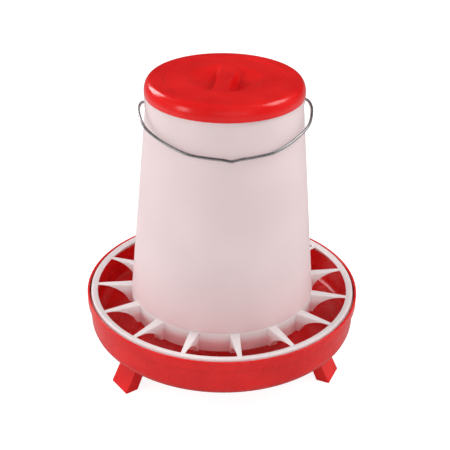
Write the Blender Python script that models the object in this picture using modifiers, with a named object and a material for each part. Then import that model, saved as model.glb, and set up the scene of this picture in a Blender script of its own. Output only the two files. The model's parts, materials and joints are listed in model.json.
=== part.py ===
"""A gravity feeder for poultry: a legged pan, a feeding grid, a hopper, its lid and a wire bail.

Metres, +Z up. The origin is on the feeder's axis at floor level, and the front is -Y.
The hopper stands in the grid's collar, and the grid's ring stands on a ledge inside the pan's lip,
so both are free to turn in the pan, and the lid is free to turn on the hopper.
"""

import math

import bmesh
import bpy
from mathutils import Matrix, Vector

# --- Driving dimensions -------------------------------------------------------------------------

MM = 0.001
SIDES = 60  # flats round every turned piece
GAP = 0.3 * MM  # between two pieces that touch
OVERLAP = 0.9 * MM  # how far a shape that is joined to another reaches into it
MERGE = 0.001 * MM

RIM_Z = 92 * MM  # top of the pan's lip above the floor
PAN_TURN = math.radians(1.3)
GRID_TURN = math.radians(3)
LID_TURN = math.radians(-14)

# Pan
PAN_WALL = 2.3 * MM
PAN_DEPTH = 49.2 * MM  # lip to underside
LIP_RADIUS = 160 * MM
LIP_HEIGHT = 12 * MM
LIP_THICK = 2.4 * MM
LIP_ROUNDING = 0.8 * MM
LEDGE_DEPTH = 10 * MM  # lip to the ledge that the grid stands on
PAN_RADIUS = 157 * MM  # of the wall just under the lip
PAN_DRAFT = 0.6 * MM  # how much narrower the wall is at its foot
PAN_CORNER = 14 * MM
CONE_RADIUS = 92 * MM
CONE_HEIGHT = 46 * MM
CONE_TIP = 7 * MM
CONE_FLARE = (8 * MM, 3 * MM)  # in from the cone's foot, and up, to where its slope is straight

# Legs
LEG_ANGLES = {"leg_left": -60, "leg_right": 60, "leg_rear": 180}  # degrees from the front, towards +X
LEG_WIDTH = 31.5 * MM
LEG_SOLE = (130.5 * MM, 147 * MM)  # nearest to the axis and farthest from it
LEG_KNEE = (119 * MM, 133.5 * MM)
LEG_KNEE_Z = 25 * MM
LEG_TOP = (106.5 * MM, 133.5 * MM)
LEG_TOP_THICK = 4 * MM
LEG_ROUNDING = 1.2 * MM
POST_RADII = (118 * MM, 128 * MM)
POST_WIDTH = 14 * MM
POST_DEPTH = 8 * MM

# Feeding grid
FINS = 15
RING_FOOT_RADIUS = 156.9 * MM
RING_CREST = (152.6 * MM, 155 * MM)  # the flat along the ring's top
RING_TOP = 1.2 * MM  # above the pan's lip
RING_INNER = 147.8 * MM
RING_EDGE = (-0.4 * MM, -1.5 * MM)  # upper and lower side of the inner edge, from the lip
RING_WALL = 1.8 * MM
RING_ROUNDING = 0.8 * MM
COLLAR_INNER = 105.75 * MM
COLLAR_OUTER = 107.3 * MM
COLLAR_DEPTH = 23.5 * MM
FIN_HALF_AT_COLLAR = 5.5 * MM
FIN_HALF_AT_RING = 2.4 * MM
FIN_TOP = (-0.2 * MM, -0.6 * MM)  # at the collar and at the ring, from the lip
FIN_FOOT = 23 * MM  # depth of a fin at the collar
FIN_TIP = 1.6 * MM  # depth of a fin at the ring
FIN_ARCH_RADIUS = 145 * MM  # where the arch under a fin is highest
FIN_ARCH_SPAN = 35 * MM
FIN_ARCH_RISE = 28 * MM
FIN_ARCH_STEPS = 5
FIN_WALL = 1.7 * MM
FIN_CORE = (116 * MM, 138 * MM)  # the hollow under a fin
CUT_DEPTH = 40 * MM  # how far down the cutters of the hollows reach

# Hopper
HOPPER_TOP = 250.4 * MM  # above the pan's lip, as are the heights below
HOPPER_RADIUS = 107.2 * MM  # at the foot of the cone
HOPPER_TAPER = 0.0912  # radius lost for each unit of height
HOPPER_WALL = 1.8 * MM
SPIGOT_RADIUS = 105.2 * MM
SPIGOT_DEPTH = 21 * MM
BEAD_DEPTH = 4 * MM
BEAD_PROUD = 0.8 * MM
BEAD_ROUNDING = 0.7 * MM
SHOULDER_RISE = 3 * MM  # height over which the inside widens from the spigot to the cone
BOSS_RADIUS = 6.5 * MM
BOSS_PROUD = 1 * MM
BOSS_SIDES = 20

# Bail
PIVOT_Z = 232.5 * MM
WIRE_RADIUS = 1.6 * MM
WIRE_HOLE_RADIUS = 2.2 * MM
HOLE_SIDES = 16
BAIL_DROP = math.radians(17.3)  # below the horizontal, where the wire lies on the hopper
# One side of the bent wire in its own plane, from the kink to the hook inside the hopper:
# across from the centre, and out from the pivot line.
BAIL_BENDS = [
    (0, 98.9),
    (9, 95.9),
    (26, 92.3),
    (44, 86.3),
    (62, 73),
    (78, 56),
    (87, 42),
    (91.4, 27),
    (93.1, 14),
    (91.4, 4),
    (87.4, 0),
    (82.5, 0),
    (80, 2.5),
    (80, 8),
]
BEND_STEPS = 4

# Lid
LID_RADIUS = 87.4 * MM
LID_SKIRT_Z = 242 * MM
LID_TOP_Z = 259 * MM
LID_SHOULDER = (8.6 * MM, 13.5 * MM)  # how far in from the side, and down from the top, it is rounded
LID_WALL = 1.6 * MM
LID_PANEL_RADIUS = 68 * MM
LID_PANEL_SUNK = 0.8 * MM
SCOOP_HALF_X = 38 * MM
SCOOP_HALF_Y = 38 * MM
SCOOP_DEPTH = 12 * MM
SCOOP_SIDES = 40
RIDGE_HALF = 9.5 * MM  # half the ridge's width in the middle
RIDGE_TAPER = 0.2  # how much narrower it is at the scoops' front edge, and wider at their back edge
RIDGE_SPREAD = 1.5 * MM  # how much farther each side of the ridge reaches at its foot
RIDGE_CORE_SHORT = 5 * MM  # how far the hollow under the ridge stays inside the scoops' ends


# --- Small tools --------------------------------------------------------------------------------


def clear_scene():
    for old in list(bpy.data.objects):
        bpy.data.objects.remove(old, do_unlink=True)


def new_collection(name):
    collection = bpy.data.collections.new(name)
    bpy.context.scene.collection.children.link(collection)
    return collection


def plastic(name, colour, roughness, metallic=0.0):
    material = bpy.data.materials.new(name)
    material.use_nodes = True
    shader = material.node_tree.nodes["Principled BSDF"]
    shader.inputs["Base Color"].default_value = (*colour, 1.0)
    shader.inputs["Roughness"].default_value = roughness
    shader.inputs["Metallic"].default_value = metallic
    material.diffuse_color = (*colour, 1.0)
    return material


def arc(centre, radius, start, end, steps):
    """Points of a round stretch, with the angles in degrees and both ends included."""
    angles = [math.radians(start + (end - start) * i / steps) for i in range(steps + 1)]
    return [(centre[0] + radius * math.cos(a), centre[1] + radius * math.sin(a)) for a in angles]


def raised(profile, z):
    return [(across, up + z) for across, up in profile]


def as_cutter(obj):
    obj.hide_render = True
    obj.display_type = "WIRE"
    return obj


def turned(name, profile, collection, closed=True):
    """A solid of revolution, with its profile run down the outer side, and from axis to axis if open."""
    edges = [(i, i + 1) for i in range(len(profile) - 1)]
    if closed:
        edges.append((len(profile) - 1, 0))
    mesh = bpy.data.meshes.new(name)
    mesh.from_pydata([(across, 0.0, up) for across, up in profile], edges, [])
    obj = bpy.data.objects.new(name, mesh)
    collection.objects.link(obj)
    screw = obj.modifiers.new("Turn", "SCREW")
    screw.axis = "Z"
    screw.angle = math.tau
    screw.steps = SIDES
    screw.render_steps = SIDES
    screw.use_merge_vertices = True
    screw.merge_threshold = MERGE
    screw.use_smooth_shade = True
    return obj


def boolean(obj, other, operation):
    modifier = obj.modifiers.new(f"{operation.title()} {other.name}", "BOOLEAN")
    modifier.operation = operation
    modifier.object = other
    modifier.solver = "EXACT"


def slab(name, outline, thickness, collection):
    """A flat outline in the XZ plane, given thickness evenly to both sides of it."""
    curve = bpy.data.curves.new(name, "CURVE")
    curve.dimensions = "2D"
    curve.fill_mode = "BOTH"
    curve.extrude = thickness / 2
    spline = curve.splines.new("POLY")
    spline.points.add(len(outline) - 1)
    for point, (across, up) in zip(spline.points, outline):
        point.co = (across, up, 0.0, 1.0)
    spline.use_cyclic_u = True
    flat = bpy.data.objects.new(name + "_outline", curve)
    collection.objects.link(flat)
    bpy.context.view_layer.update()
    evaluated = flat.evaluated_get(bpy.context.evaluated_depsgraph_get())
    solid_mesh = bpy.data.meshes.new_from_object(evaluated)
    solid_mesh.name = name
    work = bmesh.new()
    work.from_mesh(solid_mesh)
    bmesh.ops.remove_doubles(work, verts=work.verts, dist=MERGE)
    bmesh.ops.rotate(work, verts=work.verts, matrix=Matrix.Rotation(math.pi / 2, 3, "X"))
    bmesh.ops.recalc_face_normals(work, faces=work.faces)
    work.to_mesh(solid_mesh)
    work.free()
    obj = bpy.data.objects.new(name, solid_mesh)
    obj.matrix_world = flat.matrix_world.copy()
    collection.objects.link(obj)
    bpy.data.objects.remove(flat, do_unlink=True)
    return obj


def box(name, low, high, collection):
    bpy.ops.mesh.primitive_cube_add(size=1.0)
    obj = bpy.context.object
    obj.name = name
    size = [b - a for a, b in zip(low, high)]
    middle = [(a + b) / 2 for a, b in zip(low, high)]
    obj.data.transform(Matrix.Translation(middle) @ Matrix.Diagonal((*size, 1.0)))
    for owner in list(obj.users_collection):
        owner.objects.unlink(obj)
    collection.objects.link(obj)
    return obj


def rod(name, radius, start, end, vertices, collection):
    """A cylinder between two points of a line along X."""
    bpy.ops.mesh.primitive_cylinder_add(vertices=vertices, radius=radius, depth=abs(end[0] - start[0]))
    obj = bpy.context.object
    obj.name = name
    middle = (Vector(start) + Vector(end)) / 2
    obj.data.transform(Matrix.Translation(middle) @ Matrix.Rotation(math.pi / 2, 4, "Y"))
    for owner in list(obj.users_collection):
        owner.objects.unlink(obj)
    collection.objects.link(obj)
    return obj


def from_front(degrees):
    """The turn that carries a shape modelled on +X to an angle from the front, towards +X."""
    return Matrix.Rotation(math.radians(degrees - 90), 4, "Z")


def copies_round(obj, angles):
    """Replaces a mesh on +X with copies of it at these angles from the front, in one mesh."""
    work = bmesh.new()
    for angle in angles:
        copy = obj.data.copy()
        copy.transform(from_front(angle))
        work.from_mesh(copy)
        bpy.data.meshes.remove(copy)
    work.to_mesh(obj.data)
    work.free()


# --- Pan ----------------------------------------------------------------------------------------


def pan_profile():
    floor = PAN_WALL - PAN_DEPTH
    cone_slope = math.degrees(math.atan2(CONE_HEIGHT, CONE_RADIUS))
    tip_centre = (0.0, floor + CONE_HEIGHT - CONE_TIP)
    foot_radius = PAN_RADIUS - PAN_DRAFT
    bend = (foot_radius - PAN_CORNER, PAN_CORNER - PAN_DEPTH)
    inner_corner = PAN_CORNER - PAN_WALL
    lip_inner = LIP_RADIUS - LIP_THICK
    flare_in, flare_up = CONE_FLARE
    upper = [
        *arc(tip_centre, CONE_TIP, 90, 90 - cone_slope, 2),
        (CONE_RADIUS - flare_in, floor + flare_up),
        (CONE_RADIUS, floor),
        *arc(bend, inner_corner, -90, 0, 4),
        (PAN_RADIUS - PAN_WALL, -LEDGE_DEPTH),
        (lip_inner, -LEDGE_DEPTH),
        (lip_inner, -LIP_ROUNDING),
        (lip_inner + LIP_ROUNDING, 0.0),
    ]
    outer = [
        *arc((LIP_RADIUS - LIP_ROUNDING, -LIP_ROUNDING), LIP_ROUNDING, 90, 0, 2),
        (LIP_RADIUS, -LIP_HEIGHT + LIP_ROUNDING),
        (LIP_RADIUS - LIP_ROUNDING, -LIP_HEIGHT),
        (PAN_RADIUS, -LIP_HEIGHT),
        *arc(bend, PAN_CORNER, 0, -90, 4),
    ]
    under = [
        (CONE_RADIUS + PAN_WALL, -PAN_DEPTH),
        (CONE_RADIUS - flare_in, -PAN_DEPTH + flare_up),
        *arc(tip_centre, CONE_TIP - PAN_WALL, 90 - cone_slope, 90, 2),
    ]
    upper[0] = (0.0, upper[0][1])
    under[-1] = (0.0, under[-1][1])
    return raised(upper + outer + under, RIM_Z)


def build_pan(parts, cutters, material):
    pan = turned("pan", pan_profile(), parts, closed=False)
    underside = RIM_Z - PAN_DEPTH
    low = (POST_RADII[0], -POST_WIDTH / 2, underside - POST_DEPTH)
    high = (POST_RADII[1], POST_WIDTH / 2, underside + PAN_WALL / 2)
    posts = as_cutter(box("leg_posts", low, high, cutters))
    copies_round(posts, LEG_ANGLES.values())
    boolean(pan, posts, "UNION")
    pan.rotation_euler.z = PAN_TURN
    posts.rotation_euler.z = PAN_TURN
    pan.data.materials.append(material)
    return pan


# --- Legs ---------------------------------------------------------------------------------------


def leg_outline():
    top = RIM_Z - PAN_DEPTH - GAP
    return [
        (LEG_TOP[0], top),
        (LEG_TOP[0], top - LEG_TOP_THICK),
        (LEG_KNEE[0], LEG_KNEE_Z),
        (LEG_SOLE[0], 0.0),
        (LEG_SOLE[1], 0.0),
        (LEG_KNEE[1], LEG_KNEE_Z),
        (LEG_TOP[1], top),
    ]


def build_leg(name, angle, parts, cutters, material):
    leg = slab(name, leg_outline(), LEG_WIDTH, parts)
    bevel = leg.modifiers.new("Rounding", "BEVEL")
    bevel.width = LEG_ROUNDING
    bevel.segments = 2
    bevel.limit_method = "ANGLE"
    bevel.angle_limit = math.radians(40)
    underside = RIM_Z - PAN_DEPTH
    low = (POST_RADII[0] - GAP, -POST_WIDTH / 2 - GAP, underside - POST_DEPTH - GAP)
    high = (POST_RADII[1] + GAP, POST_WIDTH / 2 + GAP, underside + POST_DEPTH)
    pocket = as_cutter(box(name + "_pocket", low, high, cutters))
    boolean(leg, pocket, "DIFFERENCE")
    turn = Matrix.Rotation(PAN_TURN, 4, "Z") @ from_front(angle)
    leg.matrix_world = turn
    pocket.matrix_world = turn
    leg.data.materials.append(material)
    return leg


# --- Feeding grid -------------------------------------------------------------------------------


def ring_profile():
    """A sloping top that is highest near the outside, over a wall that stands on the pan's ledge."""
    crest_in, crest_out = RING_CREST
    edge_top, edge_under = RING_EDGE
    rounding = (crest_out - RING_ROUNDING, RING_TOP - RING_ROUNDING)
    foot = GAP - LEDGE_DEPTH
    return [
        (RING_INNER, edge_top),
        (crest_in, RING_TOP),
        *arc(rounding, RING_ROUNDING, 90, 0, 2),
        (RING_FOOT_RADIUS, foot),
        (RING_FOOT_RADIUS - RING_WALL, foot),
        (crest_out - RING_WALL, RING_TOP - RING_WALL),
        (crest_in, RING_TOP - RING_WALL),
        (RING_INNER, edge_under),
    ]


def collar_profile():
    return [
        (COLLAR_INNER, 0.0),
        (COLLAR_OUTER, 0.0),
        (COLLAR_OUTER, -COLLAR_DEPTH),
        (COLLAR_INNER, -COLLAR_DEPTH),
    ]


def fin_outline():
    """A fin seen from its side: a nearly level top, and an arch below that runs down to the collar."""
    inside_collar = COLLAR_OUTER - OVERLAP
    inside_ring = RING_INNER + OVERLAP
    arch_z = -FIN_TIP - FIN_ARCH_RISE
    lowest = math.degrees(math.asin((-FIN_FOOT - arch_z) / FIN_ARCH_RISE))
    arch = [
        (FIN_ARCH_RADIUS - FIN_ARCH_SPAN * across, arch_z + FIN_ARCH_RISE * up)
        for across, up in arc((0.0, 0.0), 1.0, 90, lowest, FIN_ARCH_STEPS)
    ]
    return [
        (inside_ring, -FIN_TIP),
        *arch,
        (inside_collar, -FIN_FOOT),
        (inside_collar, FIN_TOP[0]),
        (inside_ring, FIN_TOP[1]),
    ]


def core_outline():
    """The hollow under a fin, seen from its side."""
    near, far = FIN_CORE
    return [(near, -FIN_WALL), (near, -CUT_DEPTH), (far, -CUT_DEPTH), (far, -FIN_WALL)]


def wedge(name, outline, thinner, collection):
    """A slab on +X that is thick at the collar and thin at the ring."""
    unit_half = 1.0
    obj = slab(name, outline, 2 * unit_half, collection)
    for vertex in obj.data.vertices:
        along = (vertex.co.x - COLLAR_OUTER) / (RING_INNER - COLLAR_OUTER)
        half = FIN_HALF_AT_COLLAR + (FIN_HALF_AT_RING - FIN_HALF_AT_COLLAR) * along
        vertex.co.y *= half - thinner
    return as_cutter(obj)


def build_grid(parts, cutters, material):
    grid = turned("feed_grid", raised(ring_profile(), RIM_Z), parts)
    collar = as_cutter(turned("grid_collar", raised(collar_profile(), RIM_Z), cutters))
    fins = wedge("grid_fins", raised(fin_outline(), RIM_Z), 0.0, cutters)
    cores = wedge("grid_fin_cores", raised(core_outline(), RIM_Z), FIN_WALL, cutters)
    angles = [360 / FINS * i for i in range(FINS)]
    copies_round(fins, angles)
    copies_round(cores, angles)
    boolean(grid, collar, "UNION")
    boolean(grid, fins, "UNION")
    boolean(grid, cores, "DIFFERENCE")
    for obj in (grid, collar, fins, cores):
        obj.rotation_euler.z = GRID_TURN
    grid.data.materials.append(material)
    return grid


# --- Hopper -------------------------------------------------------------------------------------


def hopper_radius(z):
    return HOPPER_RADIUS - HOPPER_TAPER * z


def hopper_profile():
    bead_foot = HOPPER_TOP - BEAD_DEPTH
    bead = hopper_radius(HOPPER_TOP) + BEAD_PROUD
    return [
        (hopper_radius(HOPPER_TOP) - HOPPER_WALL, HOPPER_TOP),
        (bead - BEAD_ROUNDING, HOPPER_TOP),
        (bead, HOPPER_TOP - BEAD_ROUNDING),
        (bead, bead_foot),
        (hopper_radius(bead_foot), bead_foot - BEAD_ROUNDING),
        (hopper_radius(0), GAP),
        (SPIGOT_RADIUS, GAP),
        (SPIGOT_RADIUS, -SPIGOT_DEPTH),
        (SPIGOT_RADIUS - HOPPER_WALL, -SPIGOT_DEPTH),
        (SPIGOT_RADIUS - HOPPER_WALL, GAP),
        (hopper_radius(SHOULDER_RISE) - HOPPER_WALL, SHOULDER_RISE),
    ]


def build_hopper(parts, cutters, material):
    hopper = turned("hopper", raised(hopper_profile(), RIM_Z), parts)
    wall = hopper_radius(PIVOT_Z)
    z = RIM_Z + PIVOT_Z
    for side, sign in (("left", -1), ("right", 1)):
        inside = (sign * (wall - HOPPER_WALL / 2), 0.0, z)
        outside = (sign * (wall + BOSS_PROUD), 0.0, z)
        boss = as_cutter(rod(f"bail_boss_{side}", BOSS_RADIUS, inside, outside, BOSS_SIDES, cutters))
        boolean(hopper, boss, "UNION")
    across = 1.1 * wall
    ends = [(-across, 0.0, z), (across, 0.0, z)]
    hole = as_cutter(rod("bail_holes", WIRE_HOLE_RADIUS, *ends, HOLE_SIDES, cutters))
    boolean(hopper, hole, "DIFFERENCE")
    hopper.data.materials.append(material)
    return hopper


# --- Bail ---------------------------------------------------------------------------------------


def smooth_path(points, steps):
    """A smooth curve through these points (Catmull-Rom), with the two ends kept."""
    ends = [2 * points[0] - points[1], *points, 2 * points[-1] - points[-2]]
    path = []
    for i in range(1, len(ends) - 2):
        before, start, end, after = ends[i - 1 : i + 3]
        for step in range(steps):
            t = step / steps
            path.append(
                start
                + (end - before) * (t / 2)
                + (2 * before - 5 * start + 4 * end - after) * (t * t / 2)
                + (3 * start - before - 3 * end + after) * (t * t * t / 2)
            )
    return [*path, points[-1]]


def build_bail(parts, material):
    """The wire, with its origin on the pivot line. It lies forward of the line and a little below it."""
    half = smooth_path([Vector((across, out)) * MM for across, out in BAIL_BENDS], BEND_STEPS)
    left = [Vector((-point.x, point.y)) for point in reversed(half[1:])]
    curve = bpy.data.curves.new("bail_handle", "CURVE")
    curve.dimensions = "3D"
    curve.bevel_depth = WIRE_RADIUS
    curve.bevel_resolution = 2
    curve.use_fill_caps = True
    path = left + half
    spline = curve.splines.new("POLY")
    spline.points.add(len(path) - 1)
    for point, place in zip(spline.points, path):
        point.co = (place.x, -place.y * math.cos(BAIL_DROP), -place.y * math.sin(BAIL_DROP), 1.0)
    bail = bpy.data.objects.new("bail_handle", curve)
    bail.location = (0.0, 0.0, RIM_Z + PIVOT_Z)
    parts.objects.link(bail)
    curve.materials.append(material)
    return bail


# --- Lid ----------------------------------------------------------------------------------------


def lid_shoulder(wall, start, end, steps):
    """Points of the rounded shoulder, on its outside or one wall's thickness inside it."""
    across, down = LID_SHOULDER
    return [
        (LID_RADIUS - across + (across - wall) * x, LID_TOP_Z - down + (down - wall) * z)
        for x, z in arc((0.0, 0.0), 1.0, start, end, steps)
    ]


def lid_profile():
    under = LID_TOP_Z - LID_PANEL_SUNK - LID_WALL
    return [
        (0.0, LID_TOP_Z - LID_PANEL_SUNK),
        (LID_PANEL_RADIUS - LID_PANEL_SUNK, LID_TOP_Z - LID_PANEL_SUNK),
        (LID_PANEL_RADIUS, LID_TOP_Z),
        *lid_shoulder(0.0, 90, 0, 5),
        (LID_RADIUS, LID_SKIRT_Z),
        (LID_RADIUS - LID_WALL, LID_SKIRT_Z),
        *lid_shoulder(LID_WALL, 0, 75, 4),
        (LID_PANEL_RADIUS, under),
        (0.0, under),
    ]


def half_bowl(name, half_x, half_y, depth, z, above, collection):
    """A bowl's solid, flat on top, hanging from height z and standing a little above it."""
    profile = [(0.0, above / depth), (1.0, above / depth), *arc((0.0, 0.0), 1.0, 0, -90, 6)]
    profile[-1] = (0.0, -1.0)
    bowl = turned(name, profile, collection, closed=False)
    bowl.modifiers["Turn"].steps = SCOOP_SIDES
    bowl.modifiers["Turn"].render_steps = SCOOP_SIDES
    bowl.matrix_world = Matrix.Translation((0.0, 0.0, z)) @ Matrix.Diagonal((half_x, half_y, depth, 1.0))
    return as_cutter(bowl)


def build_ridge(top, collection):
    """The grip between the scoops, which widens towards the back."""
    foot = RIDGE_HALF + RIDGE_SPREAD
    low, high = top - SCOOP_DEPTH - OVERLAP, top + SCOOP_DEPTH
    outline = [(-foot, low), (foot, low), (RIDGE_HALF, high), (-RIDGE_HALF, high)]
    half_length = SCOOP_HALF_Y + OVERLAP
    ridge = slab("lid_ridge", outline, 2 * half_length, collection)
    for vertex in ridge.data.vertices:
        vertex.co.x *= 1 + RIDGE_TAPER * vertex.co.y / half_length
    return as_cutter(ridge)


def build_lid(parts, cutters, material):
    lid = turned("lid", raised(lid_profile(), RIM_Z), parts, closed=False)
    top = RIM_Z + LID_TOP_Z
    shell = (SCOOP_HALF_X + LID_WALL, SCOOP_HALF_Y + LID_WALL, SCOOP_DEPTH + LID_WALL / 2)
    dish = half_bowl("lid_dish", *shell, top - LID_WALL, OVERLAP / 2, cutters)
    scoop = (SCOOP_HALF_X, SCOOP_HALF_Y, SCOOP_DEPTH)
    scoops = half_bowl("lid_scoops", *scoop, top, LID_WALL, cutters)
    ridge = build_ridge(top, cutters)
    inner = RIDGE_HALF * (1 - RIDGE_TAPER) - LID_WALL
    half_length = SCOOP_HALF_Y - RIDGE_CORE_SHORT
    low = (-inner, -half_length, top - 2 * SCOOP_DEPTH)
    high = (inner, half_length, top - LID_PANEL_SUNK - LID_WALL)
    core = as_cutter(box("lid_ridge_core", low, high, cutters))
    boolean(scoops, ridge, "DIFFERENCE")
    boolean(lid, dish, "UNION")
    boolean(lid, scoops, "DIFFERENCE")
    boolean(lid, core, "DIFFERENCE")
    for obj in (lid, dish, scoops, ridge, core):
        obj.rotation_euler.z = LID_TURN
    lid.data.materials.append(material)
    return lid


# --- The whole feeder ---------------------------------------------------------------------------


def build():
    clear_scene()
    parts = new_collection("poultry_feeder")
    cutters = new_collection("cutters")
    red = (0.72, 0.022, 0.02)
    milky = (0.86, 0.78, 0.78)
    white = (0.9, 0.86, 0.85)
    zinc = (0.5, 0.5, 0.52)
    build_pan(parts, cutters, plastic("pan_red", red, 0.28))
    leg_red = plastic("leg_red", red, 0.32)
    for name, angle in LEG_ANGLES.items():
        build_leg(name, angle, parts, cutters, leg_red)
    build_grid(parts, cutters, plastic("grid_white", white, 0.35))
    build_hopper(parts, cutters, plastic("hopper_milky", milky, 0.4))
    build_lid(parts, cutters, plastic("lid_red", red, 0.2))
    build_bail(parts, plastic("galvanised_wire", zinc, 0.35, metallic=1.0))


build()
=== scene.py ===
"""The looks of a gravity feeder for poultry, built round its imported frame.

Metres, +Z up, the front is -Y. Every piece is modelled finely in the space of its CAD node and rides on
that node's body. Heights marked "above the lip" count from the top of the pan's lip.
"""

import json
import math

import bmesh
import bpy
from mathutils import Matrix, Vector


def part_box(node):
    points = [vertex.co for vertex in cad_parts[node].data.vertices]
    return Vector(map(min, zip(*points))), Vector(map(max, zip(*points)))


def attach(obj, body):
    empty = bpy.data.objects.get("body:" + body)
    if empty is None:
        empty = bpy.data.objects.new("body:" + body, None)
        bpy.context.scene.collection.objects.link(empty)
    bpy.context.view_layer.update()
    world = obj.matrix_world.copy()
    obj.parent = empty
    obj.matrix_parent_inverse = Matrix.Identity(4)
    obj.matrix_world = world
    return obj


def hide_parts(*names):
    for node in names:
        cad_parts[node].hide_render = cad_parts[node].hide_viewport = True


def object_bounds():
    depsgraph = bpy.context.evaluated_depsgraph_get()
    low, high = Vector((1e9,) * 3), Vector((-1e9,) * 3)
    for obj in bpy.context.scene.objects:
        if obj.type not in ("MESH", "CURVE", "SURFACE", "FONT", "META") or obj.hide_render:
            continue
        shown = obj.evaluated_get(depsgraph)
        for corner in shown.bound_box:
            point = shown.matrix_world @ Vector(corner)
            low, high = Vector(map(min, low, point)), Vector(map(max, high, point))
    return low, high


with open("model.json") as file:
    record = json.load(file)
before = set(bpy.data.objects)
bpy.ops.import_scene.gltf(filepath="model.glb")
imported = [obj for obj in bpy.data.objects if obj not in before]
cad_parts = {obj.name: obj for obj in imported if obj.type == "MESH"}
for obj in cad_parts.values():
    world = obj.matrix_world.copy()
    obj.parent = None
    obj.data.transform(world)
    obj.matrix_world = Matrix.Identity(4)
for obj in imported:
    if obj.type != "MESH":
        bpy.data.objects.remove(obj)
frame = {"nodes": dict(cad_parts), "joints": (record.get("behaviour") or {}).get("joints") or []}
cad_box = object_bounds()


def reach(node):
    """How far a node stands out from the feeder's axis."""
    return max(math.hypot(v.co.x, v.co.y) for v in frame["nodes"][node].data.vertices)


# --- Sizes taken from the frame -----------------------------------------------------------------

MM = 0.001
GAP = 0.3 * MM
RIM_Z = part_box("pan")[1].z
UNDERSIDE_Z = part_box("leg_rear")[1].z + GAP
LIP_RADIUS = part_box("pan")[1].x - 0.01 * MM
RING_FOOT_RADIUS = reach("feed_grid")
RING_TOP_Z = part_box("feed_grid")[1].z
HOPPER_TOP_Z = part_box("hopper")[1].z
HOPPER_FOOT_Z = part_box("hopper")[0].z
HOPPER_RADIUS = reach("hopper")
LID_RADIUS = reach("lid")
LID_SKIRT_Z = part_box("lid")[0].z
LID_TOP_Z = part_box("lid")[1].z
PIVOT = Vector(next(j["pos_m"] for j in frame["joints"] if j["name"] == "bail_swing"))

# --- Sizes the pieces share with the CAD --------------------------------------------------------

PAN_TURN = 1.3  # degrees, as for the next two: pan, grid and lid are free to turn on the hopper
GRID_TURN = 3
LID_TURN = -14
PAN_WALL = 2.3 * MM
LIP_HEIGHT = 12 * MM
LIP_THICK = 2.4 * MM
LEDGE_DEPTH = 10 * MM
WALL_RADIUS = LIP_RADIUS - 3 * MM
WALL_DRAFT = 0.6 * MM
PAN_CORNER = 14 * MM
CONE_RADIUS = 92 * MM
CONE_HEIGHT = 46 * MM
CONE_TIP = 7 * MM
LEG_ANGLES = {"leg_left": -60, "leg_right": 60, "leg_rear": 180}  # from the front, towards +X
LEG_WIDTH = 31.5 * MM
LEG_SOLE = (130.5 * MM, 147 * MM)  # its inner and outer side, as for the knee and the top
LEG_KNEE = (119 * MM, 133.5 * MM)
LEG_KNEE_Z = 25 * MM
LEG_TOP = (106.5 * MM, 133.5 * MM)
LEG_TOP_THICK = 4 * MM
FINS = 15
FIN_HALF = (5.5, 2.4)  # half a fin's thickness at the collar and at the ring, in millimetres
FIN_TOP = (-0.2 * MM, -0.6 * MM)  # its top at the collar and at the ring, above the lip
FIN_TIP = 1.6 * MM  # how deep its end at the ring is
FIN_FOOT = 23 * MM  # how far down the collar it runs
FIN_SKIN = 1.7 * MM  # the wall round the hollow under it
FIN_CORE = (116 * MM, 138 * MM)  # where that hollow starts and ends
CUT_DEPTH = 40 * MM
ARCH_PLACE = 145 * MM
ARCH_SPAN = 35 * MM
ARCH_RISE = 28.0 * MM
RING_WALL = 1.8 * MM
RING_INNER = 147.8 * MM
RING_CREST = (152.6 * MM, 155 * MM)  # the flat along the ring's top
RING_EDGE = (-0.4 * MM, -1.5 * MM)  # upper and lower side of its inner edge, from the lip
COLLAR_INNER = 105.75 * MM
COLLAR_OUTER = 107.3 * MM
COLLAR_DEPTH = 23.5 * MM
HOPPER_TAPER = 0.0912
HOPPER_WALL = 1.8 * MM
SPIGOT_RADIUS = 105.2 * MM
BEAD_PROUD = 0.8 * MM
BEAD_HEIGHT = 4 * MM
SHOULDER_RISE = 3 * MM
BOSS_RADIUS = 6.5 * MM
BOSS_THICK = 1.9 * MM
BOSS_SUNK = 0.9 * MM  # how much of its thickness is inside the hopper's wall
WIRE_RADIUS = 1.6 * MM
WIRE_HOLE_RADIUS = 2.2 * MM
BAIL_DROP = math.radians(17.3)
LID_WALL = 1.6 * MM
LID_SHOULDER = (8.6 * MM, 13.5 * MM)  # how far it is rounded: in from the side, down from the top
LID_PANEL_RADIUS = 68 * MM
LID_PANEL_SUNK = 0.8 * MM
SCOOP_HALF = (43 * MM, 42 * MM)
SCOOP_DEPTH = 12 * MM
SCOOP_PATCH = (44 * MM, 43.5 * MM)  # half the finely meshed part of the lid that holds the scoops
RIDGE_HALF = 9 * MM  # 0.5 mm less than in the CAD
RIDGE_TAPER = 0.2

# How fine the meshes are
ROUND_STEPS = 240  # flats round a turned piece
ARC_STEP = math.radians(14)  # greatest turn between two points of a rounded corner
SMOOTH_ANGLE = math.radians(32)
ON_AXIS = 1e-7  # a radius below this counts as none
SAME_PLACE = 1e-6  # points nearer than this are one


# --- Mesh tools ---------------------------------------------------------------------------------


def arc(centre, radius, start, end, steps):
    angles = [math.radians(start + (end - start) * i / steps) for i in range(steps + 1)]
    across, up = centre
    return [Vector((across + radius * math.cos(a), up + radius * math.sin(a))) for a in angles]


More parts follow.
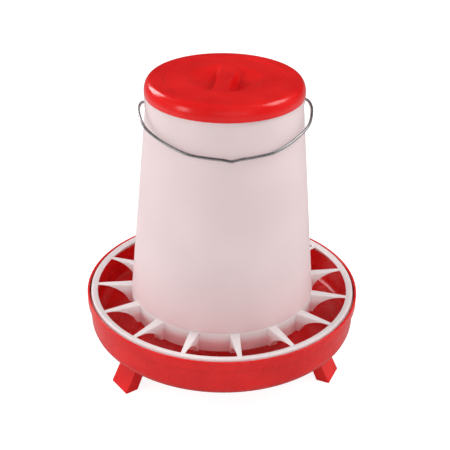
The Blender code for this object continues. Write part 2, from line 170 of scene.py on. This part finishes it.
def rounded(corners, closed=True):
    """Points of an outline whose corners, given as (across, up, radius), are rounded off."""
    points = []
    count = len(corners)
    for i, (across, up, radius) in enumerate(corners):
        here = Vector((across, up))
        if radius == 0 or (not closed and i in (0, count - 1)):
            points.append(here)
            continue
        towards = [(Vector(corners[j % count][:2]) - here).normalized() for j in (i - 1, i + 1)]
        half = towards[0].angle(towards[1]) / 2
        middle = here + (towards[0] + towards[1]).normalized() * (radius / math.sin(half))
        ends = [here + side * (radius / math.tan(half)) - middle for side in towards]
        turn = math.pi - 2 * half
        steps = max(2, math.ceil(turn / ARC_STEP))
        sense = 1 if ends[0].cross(ends[1]) > 0 else -1
        for step in range(steps + 1):
            points.append(middle + Matrix.Rotation(sense * turn * step / steps, 2) @ ends[0])
    return [p for i, p in enumerate(points) if i == 0 or (p - points[i - 1]).length > SAME_PLACE]


def raised(points, height):
    return [Vector((p.x, p.y + height)) for p in points]


def new_piece(name, mesh):
    piece = bpy.data.objects.new(name, mesh)
    bpy.context.scene.collection.objects.link(piece)
    return piece


def closed_piece(name, work):
    """Makes a piece of finished mesh work, with its faces looking outwards."""
    bmesh.ops.recalc_face_normals(work, faces=work.faces)
    mesh = bpy.data.meshes.new(name)
    work.to_mesh(mesh)
    work.free()
    return new_piece(name, mesh)


def lathe(name, points, closed=True, steps=ROUND_STEPS):
    """A turned solid. An open outline starts and ends on the axis."""
    work = bmesh.new()
    turns = [math.tau * i / steps for i in range(steps)]
    rings = []
    for point in points:
        radius = point.x
        if radius < ON_AXIS:
            rings.append([work.verts.new((0.0, 0.0, point.y))])
            continue
        places = [(radius * math.cos(a), radius * math.sin(a), point.y) for a in turns]
        rings.append([work.verts.new(place) for place in places])
    pairs = list(zip(rings, rings[1:]))
    if closed:
        pairs.append((rings[-1], rings[0]))
    for first, second in pairs:
        for i in range(steps):
            j = (i + 1) % steps
            corners = [first[k % len(first)] for k in (i, j)]
            corners += [second[k % len(second)] for k in (j, i)]
            work.faces.new(list(dict.fromkeys(corners)))
    return closed_piece(name, work)


def slab(name, points, half_width):
    """An outline in the XZ plane, given width to both sides. half_width is a function of x."""
    work = bmesh.new()
    sides = []
    for sign in (-1, 1):
        sides.append([work.verts.new((p.x, sign * half_width(p.x), p.y)) for p in points])
    count = len(points)
    for side in sides:
        work.faces.new(side)
    for i in range(count):
        j = (i + 1) % count
        work.faces.new([sides[0][i], sides[0][j], sides[1][j], sides[1][i]])
    return closed_piece(name, work)


def worked_out(thing):
    """The mesh that an object's modifiers, or its curve, come to."""
    bpy.context.view_layer.update()
    state = bpy.context.evaluated_depsgraph_get()
    return bpy.data.meshes.new_from_object(thing.evaluated_get(state))


def settle(piece):
    """Applies a piece's modifiers."""
    mesh = worked_out(piece)
    piece.modifiers.clear()
    piece.data = mesh


def bevel(piece, width, segments, angle):
    modifier = piece.modifiers.new("Edges", "BEVEL")
    modifier.width = width
    modifier.segments = segments
    modifier.limit_method = "ANGLE"
    modifier.angle_limit = math.radians(angle)
    settle(piece)


def combine(piece, other, operation):
    """Joins another solid to a piece, or cuts it away, and uses it up."""
    modifier = piece.modifiers.new(operation, "BOOLEAN")
    modifier.object = other
    modifier.operation = operation
    modifier.solver = "EXACT"
    settle(piece)
    bpy.data.objects.remove(other)


def turned(degrees):
    return Matrix.Rotation(math.radians(degrees), 4, "Z")


def from_front(degrees):
    """The turn that carries a shape modelled on +X to an angle from the front, towards +X."""
    return turned(degrees - 90)


def copies_round(piece, angles):
    """Turns a mesh on +X into copies of it at these angles from the front."""
    work = bmesh.new()
    for angle in angles:
        copy = piece.data.copy()
        copy.transform(from_front(angle))
        work.from_mesh(copy)
        bpy.data.meshes.remove(copy)
    work.to_mesh(piece.data)
    work.free()


def finish_piece(piece, body, node, material):
    """Shades a piece smooth, gives it its material and puts it in its node's place on a body."""
    piece.data.shade_smooth()
    piece.data.set_sharp_from_angle(angle=SMOOTH_ANGLE)
    weighted = piece.modifiers.new("Even shading", "WEIGHTED_NORMAL")
    weighted.keep_sharp = True
    piece.data.materials.clear()
    piece.data.materials.append(material)
    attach(piece, body)
    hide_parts(node)


# --- Materials ----------------------------------------------------------------------------------

RED = (0.70, 0.007, 0.008)
RED_LIGHT = (0.76, 0.011, 0.010)
RED_DEEP = (0.62, 0.005, 0.006)
RED_WORN = (0.86, 0.10, 0.08)
GRID_WHITE = (0.95, 0.91, 0.91)
# Painted light: pink for the grid's collar, standing in for red light bounced up from the pan.
GRID_PAINTED_BOUNCE = (0.95, 0.60, 0.61)
HOPPER_MILK = (0.965, 0.865, 0.87)
# Painted light: pink for the hopper's lower wall, standing in for red light bounced up from the pan.
HOPPER_PAINTED_BOUNCE = (0.95, 0.78, 0.79)
ZINC_DARK = (0.42, 0.41, 0.42)
ZINC_LIGHT = (0.64, 0.63, 0.64)
ZINC_RUBBED = (0.30, 0.29, 0.29)


class Surface:
    """A material's node tree, with short calls that add nodes and return their outputs."""

    def __init__(self, name):
        self.material = bpy.data.materials.new(name)
        self.material.use_nodes = True
        self.tree = self.material.node_tree
        self.shader = self.tree.nodes["Principled BSDF"]
        self.output = self.tree.nodes["Material Output"]
        self.place = self.add("ShaderNodeTexCoord").outputs["Object"]

    def add(self, kind, inputs=None, **settings):
        node = self.tree.nodes.new(kind)
        for key, value in settings.items():
            setattr(node, key, value)
        for key, value in (inputs or {}).items():
            self.put(node.inputs[key], value)
        return node

    def put(self, socket, value):
        if isinstance(value, bpy.types.NodeSocket):
            self.tree.links.new(value, socket)
        elif socket.type == "RGBA" and len(value) == 3:
            socket.default_value = (*value, 1.0)
        else:
            socket.default_value = value

    def set(self, **inputs):
        for key, value in inputs.items():
            self.put(self.shader.inputs[key.replace("_", " ")], value)

    def stretched(self, scale, turn=(0.0, 0.0, 0.0)):
        mapping = self.add("ShaderNodeMapping", {"Vector": self.place, "Scale": scale, "Rotation": turn})
        return mapping.outputs["Vector"]

    def noise(self, scale, detail=3.0, place=None):
        inputs = {"Vector": place or self.place, "Scale": scale, "Detail": detail}
        return self.add("ShaderNodeTexNoise", inputs).outputs["Fac"]

    def spread(self, value, low, high, to_low, to_high):
        """A value's stretch from low to high, carried over to another stretch and held there."""
        inputs = {"Value": value, "From Min": low, "From Max": high, "To Min": to_low, "To Max": to_high}
        return self.add("ShaderNodeMapRange", inputs).outputs["Result"]

    def maths(self, operation, first, second=0.0):
        node = self.add("ShaderNodeMath", {0: first, 1: second}, operation=operation)
        return node.outputs["Value"]

    def mixed(self, factor, first, second):
        node = self.add("ShaderNodeMix", data_type="RGBA")
        self.put(node.inputs["Factor"], factor)
        self.put(node.inputs[6], first)
        self.put(node.inputs[7], second)
        return node.outputs[2]

    def bump(self, height, depth, under=None):
        inputs = {"Height": height, "Distance": depth, "Strength": 1.0}
        if under is not None:
            inputs["Normal"] = under
        return self.add("ShaderNodeBump", inputs).outputs["Normal"]

    def edges(self, radius):
        """1 along sharp outer edges, 0 away from them."""
        rounded_normal = self.add("ShaderNodeBevel", {"Radius": radius}, samples=4).outputs["Normal"]
        true_normal = self.add("ShaderNodeNewGeometry").outputs["Normal"]
        inputs = {0: rounded_normal, 1: true_normal}
        agreement = self.add("ShaderNodeVectorMath", inputs, operation="DOT_PRODUCT").outputs["Value"]
        return self.spread(agreement, 0.75, 1.0, 1.0, 0.0)

    def scratches(self, turn, length=14.0, width=1500.0):
        """Fine hairlines that all run roughly one way."""
        place = self.stretched((length, width, length), (0.0, 0.0, turn))
        bend = self.noise(35.0, 1.0)
        bent = self.add("ShaderNodeVectorMath", {0: place, 1: bend}, operation="ADD").outputs["Vector"]
        lines = self.noise(1.0, 1.0, bent)
        return self.spread(lines, 0.68, 0.76, 0.0, 1.0)


def red_plastic(name, gloss, worn):
    """Glossy moulded polypropylene: cloudy pigment, faint orange peel, hairlines, rubbed edges."""
    surface = Surface(name)
    cloud = surface.noise(22.0, 4.0)
    colour = surface.mixed(surface.spread(cloud, 0.35, 0.65, 0.0, 1.0), RED_DEEP, RED_LIGHT)
    flow = surface.noise(1.0, 2.0, surface.stretched((60.0, 60.0, 9.0)))
    colour = surface.mixed(surface.spread(flow, 0.4, 0.75, 0.0, 0.5), colour, RED)
    edge = surface.edges(0.7 * MM)
    wear = surface.spread(surface.noise(140.0), 0.42, 0.62, 0.0, worn)
    patchy = surface.maths("MULTIPLY", edge, wear)
    colour = surface.mixed(patchy, colour, RED_WORN)
    hairlines = surface.maths("MAXIMUM", surface.scratches(0.5), surface.scratches(2.2, 18.0, 1900.0))
    patches = surface.spread(surface.noise(26.0, 2.0), 0.5, 0.75, 0.0, 1.0)
    hairlines = surface.maths("MULTIPLY", hairlines, patches)
    rough = surface.spread(surface.noise(70.0, 3.0), 0.3, 0.7, gloss - 0.03, gloss + 0.05)
    rough = surface.maths("ADD", rough, surface.maths("MULTIPLY", hairlines, 0.07))
    rough = surface.maths("ADD", rough, surface.maths("MULTIPLY", patchy, 0.15))
    peel = surface.bump(surface.noise(420.0, 2.0), 0.012 * MM)
    normal = surface.bump(hairlines, -0.0015 * MM, peel)
    surface.set(Base_Color=colour, Roughness=rough, Normal=normal, IOR=1.49)
    surface.set(Subsurface_Weight=0.08, Subsurface_Radius=(1.0, 0.12, 0.08), Subsurface_Scale=2.0 * MM)
    return surface.material


def milky_plastic(name, clear, tint, rough, painted_bounce_tint, painted_bounce_from, painted_bounce_to):
    """Unpigmented polymer that lets light through softly.

    Below the height given first it takes on a painted pink that stands in for red light bounced up from
    the pan, and it has lost it at the height given second.
    """
    surface = Surface(name)
    cloud = surface.noise(14.0, 4.0)
    colour = surface.mixed(surface.spread(cloud, 0.35, 0.65, 0.0, 1.0), tint, [0.97 * c for c in tint])
    # Painted light: towards the bottom the colour is mixed with a pink that stands in for red light
    # bounced up from the pan.
    height = surface.add("ShaderNodeSeparateXYZ", {"Vector": surface.place}).outputs["Z"]
    painted_bounce_fade = surface.spread(height, painted_bounce_from, painted_bounce_to, 1.0, 0.0)
    painted_bounce_fade = surface.maths("POWER", painted_bounce_fade, 2.2)
    colour = surface.mixed(painted_bounce_fade, colour, painted_bounce_tint)
    flow = surface.noise(1.0, 3.0, surface.stretched((70.0, 70.0, 3.0)))
    roughness = surface.spread(flow, 0.3, 0.7, rough - 0.05, rough + 0.06)
    grain = surface.bump(surface.noise(700.0, 2.0), 0.01 * MM)
    normal = surface.bump(flow, 0.05 * MM, grain)
    surface.set(Base_Color=colour, Roughness=roughness, Normal=normal, IOR=1.51)
    through = surface.add("ShaderNodeBsdfTranslucent", {"Color": colour, "Normal": normal})
    amount = surface.spread(cloud, 0.3, 0.7, clear - 0.03, clear + 0.03)
    shares = {0: amount, 1: surface.shader.outputs[0], 2: through.outputs[0]}
    mix = surface.add("ShaderNodeMixShader", shares)
    surface.put(surface.output.inputs["Surface"], mix.outputs[0])
    return surface.material


def galvanised_wire(name):
    """Drawn steel wire under dull zinc: mottled spangle and a few darker rubbed spots."""
    surface = Surface(name)
    spangle = surface.noise(520.0, 2.0)
    mottle = surface.spread(spangle, 0.35, 0.65, 0.0, 1.0)
    colour = surface.mixed(mottle, ZINC_DARK, ZINC_LIGHT)
    rub = surface.spread(surface.noise(60.0, 4.0), 0.55, 0.75, 0.0, 0.6)
    colour = surface.mixed(rub, colour, ZINC_RUBBED)
    roughness = surface.spread(spangle, 0.3, 0.7, 0.26, 0.44)
    surface.set(Base_Color=colour, Metallic=1.0, Roughness=roughness)
    surface.set(Normal=surface.bump(surface.noise(900.0, 3.0), 0.03 * MM))
    return surface.material


# --- Pan and legs -------------------------------------------------------------------------------


def pan_outline():
    floor = UNDERSIDE_Z + PAN_WALL
    lip_inner = LIP_RADIUS - LIP_THICK
    foot = WALL_RADIUS - WALL_DRAFT
    slope = math.atan2(CONE_HEIGHT, CONE_RADIUS)
    tip = CONE_TIP * math.tan(slope / 2) + 0.2 * MM
    ledge = RIM_Z - LEDGE_DEPTH
    corners = [
        (0, floor + CONE_HEIGHT, 0),
        (tip, floor + CONE_HEIGHT, CONE_TIP),
        (CONE_RADIUS, floor, 24 * MM),
        (foot - PAN_WALL, floor, PAN_CORNER - PAN_WALL),
        (WALL_RADIUS - PAN_WALL, ledge, 0.5 * MM),
        (lip_inner, ledge, 0.5 * MM),
        (lip_inner, RIM_Z, 0.7 * MM),
        (LIP_RADIUS, RIM_Z, 1.0 * MM),
        (LIP_RADIUS, RIM_Z - LIP_HEIGHT, 1.1 * MM),
        (WALL_RADIUS, RIM_Z - LIP_HEIGHT, 0.6 * MM),
        (foot, UNDERSIDE_Z, PAN_CORNER),
        (CONE_RADIUS + PAN_WALL, UNDERSIDE_Z, 24 * MM),
        (tip, UNDERSIDE_Z + CONE_HEIGHT, CONE_TIP - PAN_WALL),
        (0, UNDERSIDE_Z + CONE_HEIGHT, 0),
    ]
    return rounded(corners, closed=False)


def make_pan():
    pan = lathe("pan_body", pan_outline(), closed=False)
    finish_piece(pan, "pan", "pan", red_plastic("pan_red", 0.24, 0.5))


def make_leg(name, angle, material):
    """A splayed foot: a block that drops from the pan, then kicks outwards to a flat sole."""
    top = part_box(name)[1].z
    outline = [
        (LEG_TOP[0], top, 0.8 * MM),
        (LEG_TOP[0], top - LEG_TOP_THICK, 1.5 * MM),
        (LEG_KNEE[0], LEG_KNEE_Z, 8 * MM),
        (LEG_SOLE[0], 0.0, 1.0 * MM),
        (LEG_SOLE[1], 0.0, 1.0 * MM),
        (LEG_KNEE[1], LEG_KNEE_Z, 6 * MM),
        (LEG_TOP[1], top, 0.8 * MM),
    ]
    leg = slab(name + "_foot", rounded(outline), lambda x: LEG_WIDTH / 2)
    bevel(leg, 1.2 * MM, 4, 60)
    leg.data.transform(turned(PAN_TURN) @ from_front(angle))
    finish_piece(leg, "pan", name, material)


# --- Feeding grid -------------------------------------------------------------------------------


def fin_half(x):
    """Half a fin's thickness: thick at the collar, thin at the ring."""
    along = (x - COLLAR_OUTER) / (RING_INNER - COLLAR_OUTER)
    at_collar, at_ring = FIN_HALF
    return (at_collar + (at_ring - at_collar) * along) * MM


def fin_outline():
    """A fin from its side: a level top and an arch underneath that runs down to the collar."""
    inside_collar = COLLAR_OUTER - 0.8 * MM
    inside_ring = RING_INNER + 1.0 * MM
    middle = -FIN_TIP - ARCH_RISE
    lowest = math.asin((-FIN_FOOT - middle) / ARCH_RISE)
    steps = 14
    points = [Vector((inside_ring, middle + ARCH_RISE))]
    for i in range(steps + 1):
        angle = math.pi / 2 + (lowest - math.pi / 2) * i / steps
        across = ARCH_PLACE - ARCH_SPAN * math.cos(angle)
        points.append(Vector((across, middle + ARCH_RISE * math.sin(angle))))
    points += [
        Vector((inside_collar, -FIN_FOOT)),
        Vector((inside_collar, FIN_TOP[0])),
        Vector((inside_ring, FIN_TOP[1])),
    ]
    return raised(points, RIM_Z)


def make_grid():
    foot, crown = GAP - LEDGE_DEPTH, RING_TOP_Z - RIM_Z
    ring_corners = [
        (RING_INNER, RING_EDGE[0], 0.4 * MM),
        (RING_CREST[0], crown, 2.0 * MM),
        (RING_CREST[1], crown, 0.9 * MM),
        (RING_FOOT_RADIUS, foot, 0.5 * MM),
        (RING_FOOT_RADIUS - RING_WALL, foot, 0.5 * MM),
        (RING_CREST[1] - 1.7 * MM, crown - RING_WALL, 0.4 * MM),
        (RING_CREST[0] - 0.6 * MM, crown - RING_WALL, 1.0 * MM),
        (RING_INNER, RING_EDGE[1], 0.4 * MM),
    ]
    grid = lathe("grid_body", raised(rounded(ring_corners), RIM_Z))
    collar_corners = [
        (COLLAR_INNER, 0, 0.4 * MM),
        (COLLAR_OUTER, 0, 0.5 * MM),
        (COLLAR_OUTER, -COLLAR_DEPTH, 0.6 * MM),
        (COLLAR_INNER, -COLLAR_DEPTH, 0.4 * MM),
    ]
    collar = lathe("collar", raised(rounded(collar_corners), RIM_Z))
    fins = slab("fins", fin_outline(), fin_half)
    bevel(fins, 0.5 * MM, 3, 40)
    near, far = FIN_CORE
    hollow_corners = [
        (near, -FIN_SKIN, 1 * MM),
        (near, -CUT_DEPTH, 0),
        (far, -CUT_DEPTH, 0),
        (far, -FIN_SKIN, 1 * MM),
    ]
    hollow = raised(rounded(hollow_corners), RIM_Z)
    hollows = slab("hollows", hollow, lambda x: fin_half(x) - FIN_SKIN)
    angles = [360 / FINS * i for i in range(FINS)]
    copies_round(fins, angles)
    copies_round(hollows, angles)
    combine(grid, collar, "UNION")
    combine(grid, fins, "UNION")
    combine(grid, hollows, "DIFFERENCE")
    grid.data.transform(turned(GRID_TURN))
    # Painted light: the collar low down by the pan is painted pink, standing in for red light bounced up
    # from the pan.
    painted_bounce_band = (GRID_PAINTED_BOUNCE, RIM_Z - 13 * MM, RIM_Z - 0.5 * MM)
    white = milky_plastic("grid_white", 0.32, GRID_WHITE, 0.34, *painted_bounce_band)
    finish_piece(grid, "grid", "feed_grid", white)


# --- Hopper -------------------------------------------------------------------------------------


def hopper_radius(z):
    return HOPPER_RADIUS - HOPPER_TAPER * (z - RIM_Z)


def make_hopper():
    bead = hopper_radius(HOPPER_TOP_Z) + BEAD_PROUD
    bead_foot = HOPPER_TOP_Z - BEAD_HEIGHT
    shoulder = RIM_Z + SHOULDER_RISE
    corners = [
        (hopper_radius(HOPPER_TOP_Z) - HOPPER_WALL, HOPPER_TOP_Z, 0.7 * MM),
        (bead, HOPPER_TOP_Z, 0.8 * MM),
        (bead, bead_foot, 0.3 * MM),
        (hopper_radius(bead_foot), bead_foot - 0.7 * MM, 0.3 * MM),
        (HOPPER_RADIUS, RIM_Z + GAP, 0.5 * MM),
        (SPIGOT_RADIUS, RIM_Z + GAP, 0.4 * MM),
        (SPIGOT_RADIUS, HOPPER_FOOT_Z, 0.6 * MM),
        (SPIGOT_RADIUS - HOPPER_WALL, HOPPER_FOOT_Z, 0.6 * MM),
        (SPIGOT_RADIUS - HOPPER_WALL, RIM_Z + 1 * MM, 1.5 * MM),
        (hopper_radius(shoulder) - HOPPER_WALL, shoulder, 1.5 * MM),
    ]
    hopper = lathe("hopper_shell", rounded(corners))
    wall = hopper_radius(PIVOT.z)
    boss_corners = [
        (0, 0, 0),
        (BOSS_RADIUS, 0, 0),
        (BOSS_RADIUS, BOSS_THICK, 0.8 * MM),
        (0, BOSS_THICK, 0),
    ]
    for side in (-1, 1):
        boss = lathe(f"boss_{side}", rounded(boss_corners, closed=False), closed=False, steps=48)
        outwards = Matrix.Rotation(side * math.pi / 2, 4, "Y")
        place = Matrix.Translation((side * (wall - BOSS_SUNK), 0, PIVOT.z))
        boss.data.transform(place @ outwards)
        combine(hopper, boss, "UNION")
    across = wall + 10 * MM
    hole_outline = [
        Vector((0, -across)),
        Vector((WIRE_HOLE_RADIUS, -across)),
        Vector((WIRE_HOLE_RADIUS, across)),
        Vector((0, across)),
    ]
    holes = lathe("wire_holes", hole_outline, closed=False, steps=32)
    sideways = Matrix.Rotation(math.pi / 2, 4, "Y")
    holes.data.transform(Matrix.Translation((0, 0, PIVOT.z)) @ sideways)
    combine(hopper, holes, "DIFFERENCE")
    # Painted light: the hopper's wall turns pink from above the pan's rim downwards, standing in for red
    # light bounced up from the pan.
    painted_bounce_band = (HOPPER_PAINTED_BOUNCE, RIM_Z - 10 * MM, RIM_Z + 90 * MM)
    milky = milky_plastic("hopper_milky", 0.42, HOPPER_MILK, 0.42, *painted_bounce_band)
    finish_piece(hopper, "hopper", "hopper", milky)


# --- Lid ----------------------------------------------------------------------------------------


def ease(value, low, high):
    """0 below low, 1 above high, and a smooth rise between them."""
    t = min(1.0, max(0.0, (value - low) / (high - low)))
    return t * t * (3 - 2 * t)


def scoop_depth(x, y, wider, ridge_half):
    """How deep the two finger scoops are pressed in at a point, with a ridge left between them."""
    half_x, half_y = (half + wider for half in SCOOP_HALF)
    inside = 1 - (x / half_x) ** 2 - (y / half_y) ** 2
    if inside <= 0:
        return 0.0
    bowl = SCOOP_DEPTH * inside**1.5
    side = ridge_half * (1 + RIDGE_TAPER * y / half_y)
    return bowl * ease(abs(x), side - 2 * MM, side + 4 * MM)


def lid_shoulder(wall, start, end, steps):
    """Points of the rounded shoulder, on its outside or one wall's thickness inside it."""
    across, down = LID_SHOULDER
    points = []
    for p in arc((0.0, 0.0), 1.0, start, end, steps):
        x = LID_RADIUS - across + (across - wall) * p.x
        points.append(Vector((x, LID_TOP_Z - down + (down - wall) * p.y)))
    return points


def even_steps(low, high, count):
    return [low + (high - low) * i / count for i in range(count)]


def make_lid():
    """One closed skin: a grid over the scoops, rings out to the skirt, and the same underneath."""
    edge_x, edge_y = SCOOP_PATCH
    near, far = 0.6 * RIDGE_HALF, 1.8 * RIDGE_HALF  # the ridge's side falls away between these
    half = even_steps(0, near, 4) + even_steps(near, far, 18)
    half += even_steps(far, edge_x, 28) + [edge_x]
    columns = [-x for x in reversed(half[1:])] + half
    rows = even_steps(-edge_y, edge_y, 84) + [edge_y]
    panel = LID_TOP_Z - LID_PANEL_SUNK
    last_x, last_y = len(columns) - 1, len(rows) - 1
    border = [(i, 0) for i in range(last_x)] + [(last_x, j) for j in range(last_y)]
    border += [(i, last_y) for i in range(last_x, 0, -1)] + [(0, j) for j in range(last_y, 0, -1)]
    ring_points = [
        Vector((LID_PANEL_RADIUS - 6 * MM, panel)),
        *arc((LID_PANEL_RADIUS - 1.6 * MM, panel + 0.8 * MM), 0.8 * MM, -90, -45, 2),
        *arc((LID_PANEL_RADIUS + 0.2 * MM, LID_TOP_Z - 0.8 * MM), 0.8 * MM, 135, 90, 2),
        *lid_shoulder(0.0, 90, 0, 14),
        Vector((LID_RADIUS, LID_SKIRT_Z + 0.6 * MM)),
        Vector((LID_RADIUS - 0.2 * MM, LID_SKIRT_Z + 0.1 * MM)),
        Vector((LID_RADIUS - 0.6 * MM, LID_SKIRT_Z)),
        Vector((LID_RADIUS - LID_WALL + 0.3 * MM, LID_SKIRT_Z)),
        Vector((LID_RADIUS - LID_WALL, LID_SKIRT_Z + 0.3 * MM)),
        *lid_shoulder(LID_WALL, 0, 75, 10),
        Vector((LID_PANEL_RADIUS - 2 * MM, panel - LID_WALL)),
    ]

    work = bmesh.new()

    def sheet(level, wider, ridge_half):
        points = []
        for x in columns:
            heights = [level - scoop_depth(x, y, wider, ridge_half) for y in rows]
            points.append([work.verts.new((x, y, z)) for y, z in zip(rows, heights)])
        return points

    top = sheet(panel, 0.0, RIDGE_HALF)
    under = sheet(panel - LID_WALL, LID_WALL, RIDGE_HALF - LID_WALL)
    for grid in (top, under):
        for i in range(last_x):
            for j in range(last_y):
                work.faces.new([grid[i][j], grid[i + 1][j], grid[i + 1][j + 1], grid[i][j + 1]])
    directions = [Vector((columns[i], rows[j])).normalized() for i, j in border]
    loops = [[top[i][j] for i, j in border]]
    for point in ring_points:
        loops.append([work.verts.new((d.x * point.x, d.y * point.x, point.y)) for d in directions])
    loops.append([under[i][j] for i, j in border])
    for first, second in zip(loops, loops[1:]):
        for i in range(len(border)):
            j = (i + 1) % len(border)
            work.faces.new([first[i], first[j], second[j], second[i]])
    lid = closed_piece("lid_cap", work)
    lid.data.transform(turned(LID_TURN))
    finish_piece(lid, "lid", "lid", red_plastic("lid_red", 0.2, 0.35))


# --- Bail ---------------------------------------------------------------------------------------

# One side of the bent wire in its own plane, in millimetres, from the kink to the hook inside the
# hopper: across from the centre, and out from the pivot line.
BAIL_BENDS = [
    (0, 98.9),
    (9, 95.9),
    (26, 92.3),
    (44, 86.3),
    (62, 73),
    (78, 56),
    (87, 42),
    (91.4, 27),
    (93.1, 14),
    (91.4, 4),
    (87.4, 0),
    (82.5, 0),
    (80, 2.5),
    (80, 8),
]


def smooth_path(points, steps):
    """A smooth curve through these points (Catmull-Rom)."""
    ends = [2 * points[0] - points[1], *points, 2 * points[-1] - points[-2]]
    path = []
    for i in range(1, len(ends) - 2):
        before, start, end, after = ends[i - 1 : i + 3]
        for step in range(steps):
            t = step / steps
            path.append(
                start
                + (end - before) * (t / 2)
                + (2 * before - 5 * start + 4 * end - after) * (t * t / 2)
                + (3 * start - before - 3 * end + after) * (t * t * t / 2)
            )
    return [*path, points[-1]]


def make_bail():
    half = smooth_path([Vector(bend) * MM for bend in BAIL_BENDS], 12)
    path = [Vector((-p.x, p.y)) for p in reversed(half[1:])] + half
    curve = bpy.data.curves.new("bail_path", "CURVE")
    curve.dimensions = "3D"
    curve.bevel_depth = WIRE_RADIUS
    curve.bevel_resolution = 6
    curve.use_fill_caps = True
    spline = curve.splines.new("POLY")
    spline.points.add(len(path) - 1)
    for point, place in zip(spline.points, path):
        point.co = (place.x, -place.y * math.cos(BAIL_DROP), -place.y * math.sin(BAIL_DROP), 1.0)
    guide = new_piece("bail_path", curve)
    guide.location = PIVOT
    mesh = worked_out(guide)
    mesh.transform(guide.matrix_world)
    bpy.data.objects.remove(guide)
    work = bmesh.new()
    work.from_mesh(mesh)
    bmesh.ops.remove_doubles(work, verts=work.verts, dist=SAME_PLACE)
    bmesh.ops.recalc_face_normals(work, faces=work.faces)
    work.to_mesh(mesh)
    work.free()
    bail = new_piece("bail_wire", mesh)
    finish_piece(bail, "bail", "bail_handle", galvanised_wire("galvanised"))


# --- Stage --------------------------------------------------------------------------------------


FLOOR_SIZE = 6.0
FLOOR_GLOW = 0.82  # seen by the camera alone
WORLD_LIGHT = 0.52
WORLD_IN_GLOSS = 0.05  # how bright the surroundings are where a shiny surface mirrors them
WATTS_FOR_RADIANCE = 4  # an area light's power for each square metre and unit of radiance

CAMERA_YAW = -5  # degrees, towards the left of the feeder's own front
CAMERA_ROLL = 0.896
CAMERA_LENS = 77.93
CAMERA_PLACE = (0.002439, -0.990645, 0.713211)
CAMERA_TARGET = (0.002439, 0.0, 0.170591)


def make_floor():
    work = bmesh.new()
    bmesh.ops.create_grid(work, x_segments=1, y_segments=1, size=FLOOR_SIZE)
    mesh = bpy.data.meshes.new("floor")
    work.to_mesh(mesh)
    work.free()
    floor = new_piece("floor", mesh)
    surface = Surface("pale_floor")
    surface.set(Base_Color=(0.45, 0.45, 0.45), Roughness=1.0, Specular_IOR_Level=0.0)
    surface.set(Emission_Color=(1.0, 1.0, 1.0))
    seen = surface.add("ShaderNodeLightPath").outputs["Is Camera Ray"]
    surface.set(Emission_Strength=surface.maths("MULTIPLY", seen, FLOOR_GLOW))
    floor.data.materials.append(surface.material)


def aim(thing, target, roll=0.0):
    direction = Vector(target) - thing.location
    facing = direction.to_track_quat("-Z", "Y").to_matrix()
    thing.rotation_euler = (facing @ Matrix.Rotation(roll, 3, "Z")).to_euler()


def softbox(name, azimuth, elevation, distance, size, radiance, seen=True):
    """A rectangular light. Its azimuth counts from the front towards +X.

    A light that isn't seen gives soft fill without a reflection of its own.
    """
    light = bpy.data.lights.new(name, "AREA")
    light.shape = "RECTANGLE"
    light.size, light.size_y = size
    light.energy = WATTS_FOR_RADIANCE * radiance * size[0] * size[1]
    lamp = bpy.data.objects.new(name, light)
    a, e = math.radians(azimuth), math.radians(elevation)
    centre = Vector((0, 0, (cad_box[0].z + cad_box[1].z) / 2))
    outwards = Vector((math.sin(a) * math.cos(e), -math.cos(a) * math.cos(e), math.sin(e)))
    lamp.location = centre + distance * outwards
    lamp.visible_glossy = seen
    bpy.context.scene.collection.objects.link(lamp)
    aim(lamp, centre)


def make_light():
    softbox("left_back", -130, 32, 1.2, (0.45, 0.55), 6.0)
    softbox("left_front", -62, 20, 1.2, (0.3, 0.5), 2.8)
    softbox("right", 85, 45, 1.2, (0.5, 0.5), 4.0)
    softbox("front_fill", 5, 20, 2.0, (1.6, 1.0), 2.35, seen=False)
    softbox("left_fill", -95, 8, 1.2, (0.8, 1.0), 2.1, seen=False)
    softbox("right_fill", 95, 8, 1.2, (0.8, 1.0), 1.4, seen=False)
    softbox("top_fill", 60, 80, 1.5, (0.9, 0.9), 0.4, seen=False)
    world = bpy.data.worlds.new("studio")
    world.use_nodes = True
    tree = world.node_tree
    path = tree.nodes.new("ShaderNodeLightPath")
    dim = tree.nodes.new("ShaderNodeMapRange")
    dim.inputs["To Min"].default_value = WORLD_LIGHT
    dim.inputs["To Max"].default_value = WORLD_IN_GLOSS
    tree.links.new(path.outputs["Is Glossy Ray"], dim.inputs["Value"])
    bright = tree.nodes.new("ShaderNodeMath")
    bright.operation = "MAXIMUM"
    tree.links.new(path.outputs["Is Camera Ray"], bright.inputs[0])
    tree.links.new(dim.outputs["Result"], bright.inputs[1])
    tree.links.new(bright.outputs["Value"], tree.nodes["Background"].inputs["Strength"])
    tree.nodes["Background"].inputs["Color"].default_value = (1.0, 1.0, 1.0, 1.0)
    bpy.context.scene.world = world


def make_camera():
    """Looks down from the front at 29 degrees, a little from the left and rolled a little."""
    data = bpy.data.cameras.new("view")
    data.lens = CAMERA_LENS
    data.sensor_width = 36
    camera = bpy.data.objects.new("view", data)
    yaw = turned(CAMERA_YAW)
    camera.location = yaw @ Vector(CAMERA_PLACE)
    aim(camera, yaw @ Vector(CAMERA_TARGET), math.radians(CAMERA_ROLL))
    bpy.context.scene.collection.objects.link(camera)
    bpy.context.scene.camera = camera
    bpy.context.scene.view_settings.view_transform = "Standard"


make_pan()
leg_red = red_plastic("leg_red", 0.3, 0.5)
for leg_name, leg_angle in LEG_ANGLES.items():
    make_leg(leg_name, leg_angle, leg_red)
make_grid()
make_hopper()
make_lid()
make_bail()
make_floor()
make_light()
make_camera()
